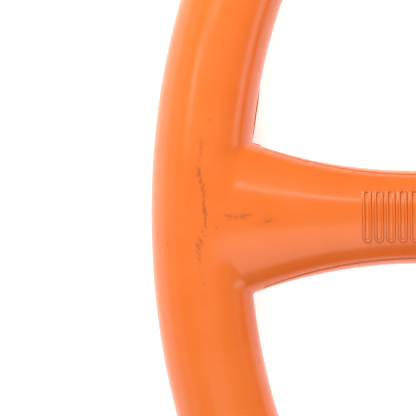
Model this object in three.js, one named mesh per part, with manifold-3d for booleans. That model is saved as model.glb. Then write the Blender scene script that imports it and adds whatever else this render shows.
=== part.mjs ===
// Centre-grip ring weight, a hand weight of the kettlebell kind: a round tube bent into an
// oval, crossed at its middle by a waisted grip bar whose ends flare into the tube.
//
// Two moulded half shells close round a steel core. They meet at the middle plane, except
// along the grip, where the back one wraps its sides. Each side of the oval holds a bent steel
// bar, and a turned rod runs through the grip, with a tenon pinned into each bar. Rubber rings
// in grooves stop the core from rattling. Ten screws come in from the back: four of them are
// covered by the rubber feet that the weight rests on, and six by push-in caps.
//
// Millimetres, +Z up. The weight lies on its feet, front face up. The origin is on the floor
// under the middle of the grip, +X runs along the grip and +Y along the oval's long axis.

import * as THREE from "three";
import { mergeVertices } from "three/addons/utils/BufferGeometryUtils.js";
import { ParametricGeometry } from "three/addons/geometries/ParametricGeometry.js";
import Module from "manifold-3d";

// ---- Driving dimensions ----

const ringHalfWidth = 77; // centreline of the oval tube, from the middle out along X
const ringHalfLength = 146.5; // the same along Y
const tubeRadius = 17.3; // outside radius of the oval tube
const wall = 2.8; // thickness of both shells
const seamGap = 0.3; // between the two shells, at the middle plane and along the grip
const seamRise = 8.5; // how far the seam rises over the middle plane at the waist of the grip
const cornerRise = 5.5; // the same at its corners, near the tube
const cornerInset = 6; // from the inside of the tube to those corners
const footStand = 1.2; // how far the feet hold the back of the tube off the floor

const gripHeight = 33; // the grip bar at its waist, across the hand
const flareRadius = 175; // radius of its upper and lower outlines
const gripDepth = 30.5; // at the waist, front to back
const gripSquareness = 2.4; // exponent of the grip's section: 2 is an ellipse

const coreGap = 0.5; // between the steel core and the inside of the shells
const bayAngle = 15; // degrees of the oval from each of its ends to the end of a bar
const tenonRadius = 7; // ends of the grip rod
const tenonLength = 12;
const crossPinRadius = 2;
const crossPinInset = 7.5; // from the tenon's shoulder to the middle of its cross pin

const cushionWidth = 3; // rubber rings round the core
const cushionDepth = 1.6; // depth of the grooves that hold them
const barCushionSteps = [1, 7, 12, 18]; // facets of a bar, counted from its first end, with a ring
const rodCushionPlace = 34; // from the middle of the grip

const shankRadius = 1.95; // M4 screws with low heads
const headRadius = 3.5;
const headHeight = 3;
const socketRadius = 1.73; // hexagon socket in the head, half its width across corners
const socketDepth = 1.8;
const seatWeb = 3.2; // back shell's material between a head and the middle of the joint
const insertRadius = 2.9; // brass inserts in the front shell
const insertLength = 7.5;
const bossWall = 1.7;
const capRadius = 3.6;
const footRadius = 6;
const coverEdge = 1.5; // least thickness of a cap or foot inside its hole

const fitGap = 0.2; // between pieces that are slid or screwed together

// ---- Fineness of the facets ----

const ringSteps = 48; // a multiple of 8, so that eighths of the oval fall on a corner
const ringSides = 16;
const coreSides = 12;
const gripSteps = 10;
const gripSides = 16;
const roundSides = 10; // screws, inserts and pins
const coverSides = 16; // caps, feet and their holes
const bossSides = 8; // hidden bosses in the shells

// ---- Sizes that follow ----

const middleHeight = footStand + tubeRadius; // height of the plane where the shells meet
const cavityRadius = tubeRadius - wall;
const coreRadius = cavityRadius - coreGap;
const gripWaist = gripHeight / 2;
const gripHalfDepth = gripDepth / 2;
const gripLeast = Math.min(gripWaist, gripHalfDepth, tubeRadius);
const rodRadius = gripLeast - wall - coreGap;
const rodShoulder = ringHalfWidth - coreRadius - coreGap; // from the middle to where the tenon starts
const stepAngle = (2 * Math.PI) / ringSteps;
const screwBossRadius = insertRadius + bossWall;
const capBossRadius = capRadius + fitGap + bossWall;
const footBossRadius = footRadius + fitGap + bossWall;

// ---- Solids ----

const wasm = await Module();
wasm.setup();

/** A closed three.js geometry as a solid that can be joined and cut. */
function solidOf(geometry) {
  const bare = geometry.clone();
  bare.deleteAttribute("normal");
  bare.deleteAttribute("uv");
  const merged = mergeVertices(bare, 1e-3);
  const corners = merged.index.array;
  const kept = [];
  for (let i = 0; i < corners.length; i += 3) {
    const [a, b, c] = corners.slice(i, i + 3);
    if (a !== b && b !== c && c !== a) kept.push(a, b, c);
  }
  const vertProperties = merged.attributes.position.array;
  const triVerts = new Uint32Array(kept);
  return new wasm.Manifold(new wasm.Mesh({ numProp: 3, vertProperties, triVerts }));
}

/** A solid as a three.js geometry. */
function geometryOf(solid) {
  const mesh = solid.getMesh();
  const geometry = new THREE.BufferGeometry();
  geometry.setAttribute("position", new THREE.BufferAttribute(mesh.vertProperties, 3));
  geometry.setIndex(new THREE.BufferAttribute(mesh.triVerts, 1));
  const flat = geometry.toNonIndexed();
  flat.computeVertexNormals();
  return flat;
}

/** The sum of several solids. */
const join = (solids) => solids.reduce((sum, solid) => sum.add(solid));

/** A round bar along Z between two heights, at x, y. */
function roundSolid(radius, low, high, x = 0, y = 0, sides = roundSides) {
  const geometry = new THREE.CylinderGeometry(radius, radius, high - low, sides);
  geometry.rotateX(Math.PI / 2);
  geometry.translate(x, y, (low + high) / 2);
  return solidOf(geometry);
}

/** A block that holds everything on one side of the middle plane: 1 is the front, -1 the back. */
function halfSpace(side) {
  const span = 3 * ringHalfLength;
  const geometry = new THREE.BoxGeometry(span, span, span);
  geometry.translate(0, 0, side * (span / 2 + seamGap / 2));
  return solidOf(geometry);
}

// ---- The oval tube ----

/** The oval centreline at angle t: its point, and its outward direction in the XY plane. */
function centreline(t) {
  const across = Math.cos(t);
  const along = Math.sin(t);
  return {
    point: new THREE.Vector3(ringHalfWidth * across, ringHalfLength * along, 0),
    outward: new THREE.Vector3(ringHalfLength * across, ringHalfWidth * along, 0).normalize(),
  };
}

/** The whole oval tube, solid, with a round section of the given radius. */
function ovalTube(radius, sides) {
  const surface = (u, v, target) => {
    const { point, outward } = centreline(2 * Math.PI * u);
    const turn = 2 * Math.PI * v;
    target.copy(point).addScaledVector(outward, radius * Math.cos(turn));
    target.z = radius * Math.sin(turn);
  };
  return solidOf(new ParametricGeometry(surface, ringSteps, sides));
}

/** A stretch of the oval as a round bar with flat ends, from a first step of the oval. */
function ovalBar(radius, sides, firstStep, steps) {
  const surface = (u, v, target) => {
    const row = Math.round(u * (steps + 2));
    const step = THREE.MathUtils.clamp(row - 1, 0, steps);
    const { point, outward } = centreline((firstStep + step) * stepAngle);
    const reach = row === 0 || row === steps + 2 ? 0 : radius;
    const turn = 2 * Math.PI * v;
    target.copy(point).addScaledVector(outward, reach * Math.cos(turn));
    target.z = reach * Math.sin(turn);
  };
  return solidOf(new ParametricGeometry(surface, steps + 2, sides));
}

// ---- The grip ----

/** Half the grip's height at x: its outlines are arcs, closest at the middle. */
function gripReach(x) {
  return gripWaist + flareRadius - Math.sqrt(flareRadius ** 2 - x ** 2);
}

/** Half the grip's depth at x: it swells to the tube's own depth at the tube's centreline. */
function gripThickness(x) {
  const share = (x / ringHalfWidth) ** 2;
  return gripHalfDepth + (tubeRadius - gripHalfDepth) * share;
}

/** The grip bar from centreline to centreline, solid, with its skin moved in by inset. */
function gripBody(inset) {
  const surface = (u, v, target) => {
    const row = Math.round(u * (gripSteps + 2));
    const step = THREE.MathUtils.clamp(row - 1, 0, gripSteps);
    const x = ringHalfWidth * ((2 * step) / gripSteps - 1);
    const open = row === 0 || row === gripSteps + 2 ? 0 : 1;
    const turn = 2 * Math.PI * v;
    const bend = (value) => Math.sign(value) * Math.abs(value) ** (2 / gripSquareness);
    const y = open * (gripReach(x) - inset) * bend(Math.cos(turn));
    const z = -open * (gripThickness(x) - inset) * bend(Math.sin(turn));
    target.set(x, y, z);
  };
  return solidOf(new ParametricGeometry(surface, gripSteps + 2, gripSides));
}

/**
 * The block under the raised seam: along the grip the back shell rises past the middle plane
 * and wraps the grip's sides. The block is grown by margin.
 */
function seamRamp(margin) {
  const corner = ringHalfWidth - tubeRadius - cornerInset;
  const foot = corner + cornerRise / 2;
  const reach = gripReach(foot) + wall;
  const outline = new THREE.Shape([
    new THREE.Vector2(foot + margin, -seamGap),
    new THREE.Vector2(corner + margin, cornerRise + margin),
    new THREE.Vector2(0, seamRise + margin),
    new THREE.Vector2(-corner - margin, cornerRise + margin),
    new THREE.Vector2(-foot - margin, -seamGap),
  ]);
  const geometry = new THREE.ExtrudeGeometry(outline, { depth: 2 * reach, bevelEnabled: false });
  geometry.rotateX(Math.PI / 2);
  geometry.translate(0, reach, 0);
  return solidOf(geometry);
}

/** How far the grip's skin is from the middle plane at x, y. */
function gripSkin(x, y) {
  const share = Math.min(1, Math.abs(y) / gripReach(x)) ** gripSquareness;
  return gripThickness(x) * (1 - share) ** (1 / gripSquareness);
}

// The tube and the grip together: their skin, the same hollowed out, and half the wall down.
const skin = ovalTube(tubeRadius, ringSides).add(gripBody(0));
const hollow = skin.subtract(ovalTube(cavityRadius, coreSides).add(gripBody(wall)));
const halfWall = ovalTube(tubeRadius - wall / 2, ringSides).add(gripBody(wall / 2));

// ---- Where the screws go ----

/** What a screw's stack of heights follows from: the skin's depth at the edge of its cover. */
function screwStack(x, y, edgeDepth, coverRadius, coverBossRadius) {
  const seat = -(edgeDepth - coverEdge - headHeight - fitGap);
  return { x, y, seat, split: seat + seatWeb, coverRadius, coverBossRadius };
}

/** A screw on the tube's centreline, at angle t. */
function tubeScrew(t, coverRadius, coverBossRadius) {
  const { point } = centreline(t);
  const edgeDepth = Math.sqrt(tubeRadius ** 2 - (coverRadius + fitGap) ** 2);
  return screwStack(point.x, point.y, edgeDepth, coverRadius, coverBossRadius);
}

/** A screw in the flare of the grip, beside the rod and the bar, in the quadrant of signs. */
function flareScrew(signX, signY) {
  const y = rodRadius + coreGap + capBossRadius;
  const barEdge = ringHalfWidth * Math.sqrt(1 - (y / ringHalfLength) ** 2) - coreRadius;
  const x = barEdge - coreGap - capBossRadius;
  const edgeDepth = gripSkin(x, y + capRadius + fitGap);
  return screwStack(signX * x, signY * y, edgeDepth, capRadius, capBossRadius);
}

const quadrants = [
  [1, 1],
  [-1, 1],
  [-1, -1],
  [1, -1],
];
const eighth = Math.PI / 4;
const footScrews = [1, 3, 5, 7].map((k) => tubeScrew(k * eighth, footRadius, footBossRadius));
const endScrews = [2, 6].map((k) => tubeScrew(k * eighth, capRadius, capBossRadius));
const flareScrews = quadrants.map(([signX, signY]) => flareScrew(signX, signY));
const allScrews = [...footScrews, ...endScrews, ...flareScrews];

// ---- Shells ----

/** The front shell: half of the hollow body, with a boss and an insert's hole for each screw. */
function frontShell() {
  const half = hollow.intersect(halfSpace(1)).subtract(seamRamp(seamGap / 2));
  const bosses = allScrews.map(({ x, y, split }) =>
    roundSolid(screwBossRadius, split + fitGap / 2, tubeRadius, x, y, bossSides)
  );
  const holes = allScrews.map(({ x, y, split }) => {
    const end = split + insertLength + 2 * fitGap;
    return roundSolid(insertRadius + fitGap, split - 1, end, x, y);
  });
  const kept = join(bosses).intersect(halfWall);
  return half.add(kept).subtract(join(holes));
}

/** The back shell: the other half, with a stepped hole for each screw and its cover. */
function backShell() {
  const half = hollow.intersect(halfSpace(-1).add(seamRamp(-seamGap / 2)));
  const bosses = allScrews.map(({ x, y, split, coverBossRadius }) =>
    roundSolid(coverBossRadius, -tubeRadius, split - fitGap / 2, x, y, bossSides)
  );
  const holes = allScrews.flatMap(({ x, y, seat, split, coverRadius }) => {
    const coverEnd = seat - headHeight - fitGap;
    return [
      roundSolid(coverRadius + fitGap, -2 * tubeRadius, coverEnd, x, y, coverSides),
      roundSolid(headRadius + fitGap, coverEnd - 1, seat, x, y),
      roundSolid(shankRadius + fitGap, seat - 1, split + 1, x, y),
      roundSolid(screwBossRadius + fitGap, split - fitGap / 2, seamRise, x, y, bossSides),
    ];
  });
  const kept = join(bosses).intersect(halfWall);
  return half.add(kept).subtract(join(holes));
}

// ---- Core ----

const alongX = new THREE.Quaternion().setFromAxisAngle(new THREE.Vector3(0, 0, 1), -Math.PI / 2);

/** A flat rubber ring, or the groove that holds it, round the Z axis. */
function cushionRing(innerRadius, outerRadius, width) {
  const outline = [
    new THREE.Vector2(innerRadius, -width / 2),
    new THREE.Vector2(outerRadius, -width / 2),
    new THREE.Vector2(outerRadius, width / 2),
    new THREE.Vector2(innerRadius, width / 2),
    new THREE.Vector2(innerRadius, -width / 2),
  ];
  return new THREE.LatheGeometry(outline, coreSides);
}

const barFirstStep = { right: -ringSteps / 4, left: ringSteps / 4 };
const baySteps = Math.round(THREE.MathUtils.degToRad(bayAngle) / stepAngle);
const barSteps = ringSteps / 2 - 2 * baySteps;

/** Places of the rubber rings on one bar: the middle of a straight facet, and its direction. */
function barCushions(side) {
  return barCushionSteps.map((step) => {
    const first = barFirstStep[side] + baySteps + step;
    const from = centreline(first * stepAngle).point;
    const to = centreline((first + 1) * stepAngle).point;
    const turn = new THREE.Quaternion().setFromUnitVectors(
      new THREE.Vector3(0, 1, 0),
      to.clone().sub(from).normalize()
    );
    return { place: from.add(to).multiplyScalar(0.5), turn };
  });
}

/** A ring-shaped cutter for a groove in a core of the given radius, at a place. */
function grooveCutter(radius, place, turn) {
  const geometry = cushionRing(radius - cushionDepth, radius + coreGap, cushionWidth + 2 * fitGap);
  geometry.applyQuaternion(turn);
  geometry.translate(place.x, place.y, place.z);
  return solidOf(geometry);
}

/** A round hole along X from the middle of the grip out to x, on either side. */
function sideHole(radius, x, sign) {
  const geometry = new THREE.CylinderGeometry(radius, radius, x, coreSides);
  geometry.rotateZ(Math.PI / 2);
  geometry.translate((sign * x) / 2, 0, 0);
  return solidOf(geometry);
}

const crossPinPlace = rodShoulder + crossPinInset;
const crossPinHalfLength =
  Math.sqrt(coreRadius ** 2 - (ringHalfWidth - crossPinPlace + crossPinRadius) ** 2) - fitGap;

/** One bent steel bar, drilled for the bosses, for the rod's tenon and for its cross pin. */
function coreBar(side) {
  const sign = side === "right" ? 1 : -1;
  const bar = ovalBar(coreRadius, coreSides, barFirstStep[side] + baySteps, barSteps);
  const bossHoles = footScrews
    .filter(({ x }) => Math.sign(x) === sign)
    .flatMap(({ x, y, split, coverBossRadius }) => [
      roundSolid(screwBossRadius + coreGap, split, 2 * tubeRadius, x, y, bossSides),
      roundSolid(coverBossRadius + coreGap, -2 * tubeRadius, split + coreGap, x, y, bossSides),
    ]);
  const grooves = barCushions(side).map(({ place, turn }) =>
    grooveCutter(coreRadius, place, turn)
  );
  const socket = sideHole(tenonRadius + fitGap, rodShoulder + tenonLength + 2 * fitGap, sign);
  const pinHole = roundSolid(
    crossPinRadius + fitGap, -tubeRadius, tubeRadius, sign * crossPinPlace, 0
  );
  return bar.subtract(join([...bossHoles, ...grooves, socket, pinHole]));
}

const roomRoundRod = Math.min(gripReach(rodCushionPlace), gripThickness(rodCushionPlace));
const rodCushionRadius = roomRoundRod - wall - coreGap + fitGap;

/** The turned rod in the grip, with a tenon at each end, two grooves and two pin holes. */
function gripRod() {
  const chamfer = 1;
  const end = rodShoulder + tenonLength;
  const outline = [
    new THREE.Vector2(0, -end),
    new THREE.Vector2(tenonRadius - chamfer, -end),
    new THREE.Vector2(tenonRadius, chamfer - end),
    new THREE.Vector2(tenonRadius, -rodShoulder),
    new THREE.Vector2(rodRadius - chamfer, -rodShoulder),
    new THREE.Vector2(rodRadius, chamfer - rodShoulder),
    new THREE.Vector2(rodRadius, rodShoulder - chamfer),
    new THREE.Vector2(rodRadius - chamfer, rodShoulder),
    new THREE.Vector2(tenonRadius, rodShoulder),
    new THREE.Vector2(tenonRadius, end - chamfer),
    new THREE.Vector2(tenonRadius - chamfer, end),
    new THREE.Vector2(0, end),
  ];
  const turned = new THREE.LatheGeometry(outline, coreSides);
  turned.rotateZ(-Math.PI / 2);
  const cuts = [-1, 1].flatMap((sign) => [
    grooveCutter(rodRadius, new THREE.Vector3(sign * rodCushionPlace, 0, 0), alongX),
    roundSolid(crossPinRadius + fitGap, -tubeRadius, tubeRadius, sign * crossPinPlace, 0),
  ]);
  return solidOf(turned).subtract(join(cuts));
}

// ---- Screws, inserts and covers, each round its own Z axis ----

/** A socket-head screw: its head rests on z = 0, and its shank points up. */
function screwSolid(length) {
  const head = roundSolid(headRadius, -headHeight, 0);
  const shank = roundSolid(shankRadius, -headHeight / 2, length);
  const socket = roundSolid(socketRadius, -2 * headHeight, socketDepth - headHeight, 0, 0, 6);
  return head.add(shank).subtract(socket);
}

/** A threaded insert, from z = 0 up. */
function insertSolid() {
  const bore = roundSolid(shankRadius + fitGap, -1, insertLength + 1);
  return roundSolid(insertRadius, 0, insertLength).subtract(bore);
}

/** A push-in cap that fills a screw's hole up to the skin of the shell. */
function capSolid({ x, y, seat, coverRadius }) {
  const top = seat - headHeight - 2 * fitGap;
  const plug = roundSolid(coverRadius, -2 * tubeRadius, top, x, y, coverSides);
  return plug.intersect(skin).translate([-x, -y, 0]);
}

/** A rubber foot: a plug with a chamfered sole, from its top down to the floor. */
function footSolid({ seat, coverRadius }) {
  const chamfer = 0.8;
  const top = seat - headHeight - 2 * fitGap;
  const outline = [
    new THREE.Vector2(0, -middleHeight),
    new THREE.Vector2(coverRadius - chamfer, -middleHeight),
    new THREE.Vector2(coverRadius, chamfer - middleHeight),
    new THREE.Vector2(coverRadius, top),
    new THREE.Vector2(0, top),
  ];
  const geometry = new THREE.LatheGeometry(outline, coverSides);
  geometry.rotateX(Math.PI / 2);
  return solidOf(geometry);
}

// ---- Materials ----

const orangePlastic = new THREE.MeshStandardMaterial({ color: 0xf26a21, roughness: 0.3 });
const bareSteel = new THREE.MeshStandardMaterial({ color: 0x8d9196, roughness: 0.45, metalness: 1 });
const zincSteel = new THREE.MeshStandardMaterial({ color: 0xb9bec4, roughness: 0.3, metalness: 1 });
const brass = new THREE.MeshStandardMaterial({ color: 0xc49a45, roughness: 0.35, metalness: 1 });
const blackRubber = new THREE.MeshStandardMaterial({ color: 0x1e1e1e, roughness: 0.8 });

// ---- Assembly ----

const weight = new THREE.Group();
weight.position.z = middleHeight;

/** Adds one named piece to the weight, at a place measured from the middle of the grip. */
function addPiece(name, solid, material, place = new THREE.Vector3(), turn = new THREE.Quaternion()) {
  const mesh = new THREE.Mesh(geometryOf(solid), material);
  mesh.name = name;
  mesh.position.copy(place);
  mesh.quaternion.copy(turn);
  weight.add(mesh);
}

addPiece("front_shell", frontShell(), orangePlastic);
addPiece("back_shell", backShell(), orangePlastic);

for (const side of ["left", "right"]) {
  addPiece(`${side}_core_bar`, coreBar(side), bareSteel);
  const ring = solidOf(
    cushionRing(coreRadius - cushionDepth + fitGap, coreRadius + fitGap, cushionWidth)
  );
  barCushions(side).forEach(({ place, turn }, i) =>
    addPiece(`${side}_bar_cushion_${i + 1}`, ring, blackRubber, place, turn)
  );
}

addPiece("grip_rod", gripRod(), bareSteel);
for (const [side, sign] of [["left", -1], ["right", 1]]) {
  const place = new THREE.Vector3(sign * rodCushionPlace, 0, 0);
  const ring = solidOf(
    cushionRing(rodRadius - cushionDepth + fitGap, rodCushionRadius, cushionWidth)
  );
  addPiece(`${side}_rod_cushion`, ring, blackRubber, place, alongX);
  const pin = roundSolid(crossPinRadius, -crossPinHalfLength, crossPinHalfLength);
  const pinPlace = new THREE.Vector3(sign * crossPinPlace, 0, 0);
  addPiece(`${side}_cross_pin`, pin, zincSteel, pinPlace);
}

const screwSets = [
  { name: "foot", screws: footScrews, cover: "rest_foot" },
  { name: "end", screws: endScrews, cover: "end_cap" },
  { name: "flare", screws: flareScrews, cover: "flare_cap" },
];
for (const { name, screws, cover } of screwSets) {
  const shankLength = seatWeb + insertLength;
  screws.forEach((stack, i) => {
    const { x, y, seat, split } = stack;
    const number = i + 1;
    const isFoot = cover === "rest_foot";
    const screwPlace = new THREE.Vector3(x, y, seat - fitGap / 2);
    addPiece(`${name}_screw_${number}`, screwSolid(shankLength), zincSteel, screwPlace);
    const insertPlace = new THREE.Vector3(x, y, split + fitGap);
    addPiece(`${name}_insert_${number}`, insertSolid(), brass, insertPlace);
    const coverPlace = new THREE.Vector3(x, y, 0);
    const coverSolid = isFoot ? footSolid(stack) : capSolid(stack);
    addPiece(`${cover}_${number}`, coverSolid, isFoot ? blackRubber : orangePlastic, coverPlace);
  });
}

export default weight;
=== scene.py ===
"""The looks of a centre-grip ring weight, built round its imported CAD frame.

The weight is an oval tube crossed by a waisted grip. It lies on its feet with its front face up,
+X along the grip, +Y along the oval's long axis and +Z up. Lengths are in metres.
"""

import logging
import math
from dataclasses import dataclass, field, replace
from enum import Enum
from typing import Callable

import bpy
import numpy as np
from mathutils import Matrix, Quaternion, Vector

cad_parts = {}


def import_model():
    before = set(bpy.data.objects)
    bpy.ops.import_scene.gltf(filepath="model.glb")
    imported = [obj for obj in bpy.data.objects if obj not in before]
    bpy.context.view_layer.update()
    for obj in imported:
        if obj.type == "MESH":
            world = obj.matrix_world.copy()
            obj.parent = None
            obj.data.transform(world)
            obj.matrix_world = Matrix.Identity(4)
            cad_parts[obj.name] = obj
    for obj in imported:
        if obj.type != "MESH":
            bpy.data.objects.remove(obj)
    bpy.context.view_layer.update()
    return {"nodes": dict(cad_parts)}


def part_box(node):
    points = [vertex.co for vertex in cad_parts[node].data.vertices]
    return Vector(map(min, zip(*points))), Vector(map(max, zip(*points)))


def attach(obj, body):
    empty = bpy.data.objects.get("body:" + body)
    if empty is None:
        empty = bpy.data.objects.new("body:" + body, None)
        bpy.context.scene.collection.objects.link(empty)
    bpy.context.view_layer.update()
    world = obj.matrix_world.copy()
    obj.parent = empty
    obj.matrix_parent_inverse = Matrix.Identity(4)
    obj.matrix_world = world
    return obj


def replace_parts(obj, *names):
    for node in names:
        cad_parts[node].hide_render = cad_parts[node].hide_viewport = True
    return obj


Array = np.ndarray
LOG = logging.getLogger("ring_weight")
MM = 0.001
SHARP_EDGE = math.radians(38)


class Half(Enum):
    """The two half shells, by the side of the middle plane that each is on."""

    FRONT = 1
    BACK = -1


# ---- Sizes ----


@dataclass(frozen=True)
class Oval:
    """The oval centreline of the tube, an ellipse in the XY plane, and the tube's radius."""

    half_width: float
    half_length: float
    tube: float

    def point(self, t: Array) -> Array:
        """The ellipse at angle t: half width times cosine, half length times sine."""
        return np.stack([self.half_width * np.cos(t), self.half_length * np.sin(t)], axis=-1)

    def outward(self, t: Array) -> Array:
        """The unit normal that points out of the ellipse at angle t."""
        raw = np.stack([self.half_length * np.cos(t), self.half_width * np.sin(t)], axis=-1)
        return raw / np.linalg.norm(raw, axis=-1, keepdims=True)

    def nearest(self, xy: Array) -> Array:
        """The angle of the ellipse's nearest point, by Newton steps on the tangent condition.

        Args:
            xy: points in the plane, one per row.

        Returns:
            One angle for each point.
        """
        a, b = self.half_width, self.half_length
        t = np.arctan2(xy[..., 1] / b, xy[..., 0] / a)
        for _ in range(6):
            c, s = np.cos(t), np.sin(t)
            away = self.point(t) - xy
            first = np.stack([-a * s, b * c], axis=-1)
            second = np.stack([-a * c, -b * s], axis=-1)
            slope = np.sum(first * first, axis=-1) + np.sum(away * second, axis=-1)
            slope = np.where(np.abs(slope) < 1e-9, 1e-9, slope)
            t = t - np.clip(np.sum(away * first, axis=-1) / slope, -0.3, 0.3)
        return t

    def section(self, xyz: Array) -> tuple[Array, Array]:
        """Where points lie in the tube's own section: outward from the centreline, and up."""
        t = self.nearest(xyz[..., :2])
        out = np.sum((xyz[..., :2] - self.point(t)) * self.outward(t), axis=-1)
        return out, xyz[..., 2]


@dataclass(frozen=True)
class GripOutline:
    """The grip: arcs of one radius, closest at the waist, on a superellipse section."""

    end: float
    end_depth: float
    waist: float = 16.5 * MM
    flare: float = 175 * MM
    depth: float = 15.25 * MM
    squareness: float = 2.4

    def reach(self, x: Array) -> Array:
        """Half the height at x: the waist plus the sagitta of the flare's arc."""
        return self.waist + self.flare - np.sqrt(self.flare**2 - np.minimum(x**2, self.flare**2))

    def thickness(self, x: Array) -> Array:
        """Half the depth at x: it grows with the square of x to the tube's own at its centreline."""
        return self.depth + (self.end_depth - self.depth) * (x / self.end) ** 2

    def top(self, x: Array, y: Array) -> Array:
        """The skin's height over the middle plane at x, y: the superellipse solved for height."""
        share = np.clip(np.abs(y) / self.reach(x), 0, 1) ** self.squareness
        return self.thickness(x) * (1 - share) ** (1 / self.squareness)

    def on_section(self, x: Array, turn: Array) -> tuple[Array, Array]:
        """Across and up at x, by a turn from the middle plane: cosine and sine to one power."""
        power = 2 / self.squareness
        cos, sin = np.cos(turn), np.sin(turn)
        y = self.reach(x) * np.sign(cos) * np.abs(cos) ** power
        return y, self.thickness(x) * np.sign(sin) * np.abs(sin) ** power

    def turn_at(self, x: Array, z: Array) -> Array:
        """The turn at which the section at x passes a height, on its upper side."""
        share = np.abs(z) / self.thickness(x)
        return np.sign(z) * np.arcsin(share ** (self.squareness / 2))

    def inside(self, inset: float) -> "GripOutline":
        """The same grip with its skin moved in, as the hollow's side of the wall."""
        moved = {"waist": self.waist - inset, "depth": self.depth - inset}
        return replace(self, end_depth=self.end_depth - inset, **moved)


@dataclass(frozen=True)
class Seam:
    """The joint between the shells: level round the tube, and raised along the grip's sides."""

    corner: float
    gap: float = 0.3 * MM
    rise: float = 8.5 * MM
    corner_rise: float = 5.5 * MM

    def height(self, x: Array, half: Half) -> Array:
        """Height of one half's edge over the middle plane, upwards on that half's own side.

        Between the grip's corners it is a parabola from the rise at the waist to the corner's
        rise. From there it falls in an S curve to the middle plane.
        """
        away = np.abs(x)
        bow = self.rise - (self.rise - self.corner_rise) * np.minimum(away / self.corner, 1) ** 2
        fall = np.clip((away - self.corner) / (self.corner_rise / 2), 0, 1)
        raised = bow * (1 - fall**2 * (3 - 2 * fall))
        return half.value * raised + self.gap / 2


@dataclass(frozen=True)
class WeightSizes:
    """What the frame says about the weight, with the few sizes that only the looks need."""

    oval: Oval
    middle: float
    grip: GripOutline
    seam: Seam
    wall: float = 2.8 * MM
    fillet: float = 1.3 * MM
    broad_fillet: float = 10 * MM
    edge_round: float = 0.55 * MM

    @staticmethod
    def from_frame() -> "WeightSizes":
        """Reads the tube's radius, the oval and the middle plane from the two shells' boxes."""
        front_low, front_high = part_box("front_shell")
        back_low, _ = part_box("back_shell")
        tube = (front_high.z - back_low.z) / 2
        oval = Oval(front_high.x - tube, front_high.y - tube, tube)
        grip = GripOutline(end=oval.half_width, end_depth=tube)
        corner_inset = 6 * MM
        seam = Seam(corner=oval.half_width - tube - corner_inset)
        return WeightSizes(oval, (front_high.z + back_low.z) / 2, grip, seam)


# ---- Mesh helpers ----


def spaced(length: float, finest: float, coarsest: float, growth: float,
           focuses: tuple[float, ...]) -> Array:
    """Positions from 0 to length whose spacing grows away from the places in focus.

    The spacing wanted at a place is the finest plus growth times the distance to the nearest
    focus, up to the coarsest. Its reciprocal is summed along the length, and the positions are
    where that sum passes whole shares of its total.

    Args:
        length: the whole length.
        finest: spacing at a focus.
        coarsest: largest spacing.
        growth: how much the spacing grows per unit of distance.
        focuses: places that are in focus.

    Returns:
        Rising positions, the first 0 and the last length.
    """
    fine = np.linspace(0, length, 4000)
    away = np.min(np.abs(fine[:, None] - np.array(focuses)[None, :]), axis=1)
    density = 1 / np.minimum(coarsest, finest + growth * away)
    total = np.concatenate([[0], np.cumsum((density[1:] + density[:-1]) / 2 * np.diff(fine))])
    count = int(math.ceil(total[-1]))
    return np.interp(np.linspace(0, total[-1], count + 1), total, fine)


def halve(low: Array, high: Array, inside: Callable[[Array], Array], rounds: int) -> Array:
    """The values at which inside stops being true, by halving the span between low and high.

    Args:
        low: values at which inside is true.
        high: values at which it is not.
        inside: the test, for one value in each span.
        rounds: how often the spans are halved.

    Returns:
        The middle of each last span.
    """
    for _ in range(rounds):
        mid = (low + high) / 2
        held = inside(mid)
        low, high = np.where(held, mid, low), np.where(held, high, mid)
    return (low + high) / 2


def lattice_quads(index: Array, wrap: bool = False) -> Array:
    """The quads between neighbouring rows and columns of a lattice of vertex numbers."""
    if wrap:
        index = np.concatenate([index, index[:1]], axis=0)
    a, b, c, d = index[:-1, :-1], index[1:, :-1], index[1:, 1:], index[:-1, 1:]
    return np.stack([a, b, c, d], axis=-1).reshape(-1, 4)


def rim_edges(quads: Array) -> Array:
    """The directed edges of an open sheet that only one quad uses."""
    edges = np.concatenate([quads[:, [k, (k + 1) % 4]] for k in range(4)])
    key = np.sort(edges, axis=1)
    _, first, counts = np.unique(key, axis=0, return_index=True, return_counts=True)
    return edges[first[counts == 1]]


def signed_volume(points: Array, quads: Array) -> float:
    """The volume inside a closed mesh, negative where its faces point inwards."""
    p = points[quads]
    first = np.einsum("ij,ij->i", p[:, 0], np.cross(p[:, 1], p[:, 2]))
    second = np.einsum("ij,ij->i", p[:, 0], np.cross(p[:, 2], p[:, 3]))
    return float((first + second).sum() / 6)


def shade(mesh: bpy.types.Mesh) -> None:
    """Shades a mesh smooth, apart from its sharp edges."""
    mesh.polygons.foreach_set("use_smooth", np.ones(len(mesh.polygons), bool))
    mesh.set_sharp_from_angle(angle=SHARP_EDGE)


def make_piece(name: str, points: Array, faces: Array,
               masks: dict[str, Array] | None = None) -> bpy.types.Object:
    """A mesh object from arrays, shaded smooth except at sharp edges, its faces turned outwards.

    Args:
        name: the piece's name.
        points: vertex places, one per row.
        faces: quads as vertex numbers, one per row; one at a pole names the pole twice.
        masks: values per vertex that the materials read, by attribute name.

    Returns:
        The new object, at the origin.
    """
    if signed_volume(points, faces) < 0:
        faces = faces[:, ::-1]
    mesh = bpy.data.meshes.new(name)
    repeated = faces == np.roll(faces, 1, axis=1)
    whole = faces[~repeated.any(axis=1)].tolist()
    poles = faces[repeated.any(axis=1)]
    corners = poles[~repeated[repeated.any(axis=1)]].reshape(-1, 3).tolist()
    mesh.from_pydata(points.tolist(), [], whole + corners)
    shade(mesh)
    for key, values in (masks or {}).items():
        attribute = mesh.attributes.new(key, "FLOAT", "POINT")
        attribute.data.foreach_set("value", values.astype(np.float32))
    mesh.update()
    piece = bpy.data.objects.new(name, mesh)
    bpy.context.scene.collection.objects.link(piece)
    return piece


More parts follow.
